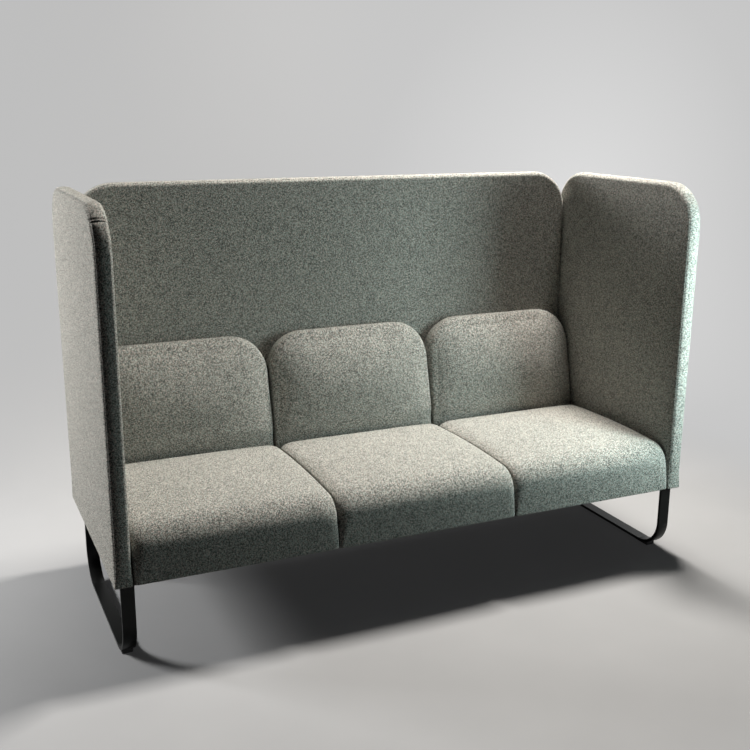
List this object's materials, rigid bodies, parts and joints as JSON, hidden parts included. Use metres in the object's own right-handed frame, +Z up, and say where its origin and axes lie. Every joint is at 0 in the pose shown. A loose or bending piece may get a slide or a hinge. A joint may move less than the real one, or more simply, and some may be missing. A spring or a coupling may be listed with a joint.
{
  "type": "high-back sofa",
  "caption": "Upholstered sofa with tall padded back and side panels, separate waterfall seats, low leaning back cushions and black flat-bar sled legs.",
  "frame": {"origin": "on the floor under the middle of the sofa's box", "axes": "+X to the right in a front view, so pieces named left are at -X; +Y from the front to the back panel; +Z up"},
  "size_m": [2, 0.775, 1.32],
  "materials": {
    "upholstery": "melange wool weave",
    "board": "raw board",
    "black_powder_coat": "satin",
    "zinc_steel": "zinc plated",
    "black_plastic": "matte",
    "dust_cloth": "non-woven"
  },
  "bodies": {
    "root": {"left_panel_cover": "upholstery", "right_panel_cover": "upholstery", "back_panel_cover": "upholstery", "left_seat_cushion": "upholstery", "centre_seat_cushion": "upholstery", "right_seat_cushion": "upholstery", "left_back_cushion": "upholstery", "centre_back_cushion": "upholstery", "right_back_cushion": "upholstery", "left_panel_core": "board", "right_panel_core": "board", "back_panel_core": "board", "corner_dowels": "board", "left_seat_board": "board", "centre_seat_board": "board", "right_seat_board": "board", "left_back_board": "board", "centre_back_board": "board", "right_back_board": "board", "front_beam": "black_powder_coat", "rear_beam": "black_powder_coat", "left_cross_member": "black_powder_coat", "centre_cross_member": "black_powder_coat", "right_cross_member": "black_powder_coat", "left_back_arm": "black_powder_coat", "centre_back_arm": "black_powder_coat", "right_back_arm": "black_powder_coat", "beam_end_plates": "black_powder_coat", "left_sled_leg": "black_powder_coat", "right_sled_leg": "black_powder_coat", "left_leg_flange": "black_powder_coat", "right_leg_flange": "black_powder_coat", "panel_bolts": "zinc_steel", "panel_insert_nuts": "zinc_steel", "seat_screws": "zinc_steel", "back_board_screws": "zinc_steel", "leg_bolts": "zinc_steel", "weld_nuts": "zinc_steel", "panel_screws": "zinc_steel", "glide_screws": "zinc_steel", "front_left_glide": "black_plastic", "front_right_glide": "black_plastic", "rear_left_glide": "black_plastic", "rear_right_glide": "black_plastic", "dust_cover": "dust_cloth"}
  },
  "joints": []
}
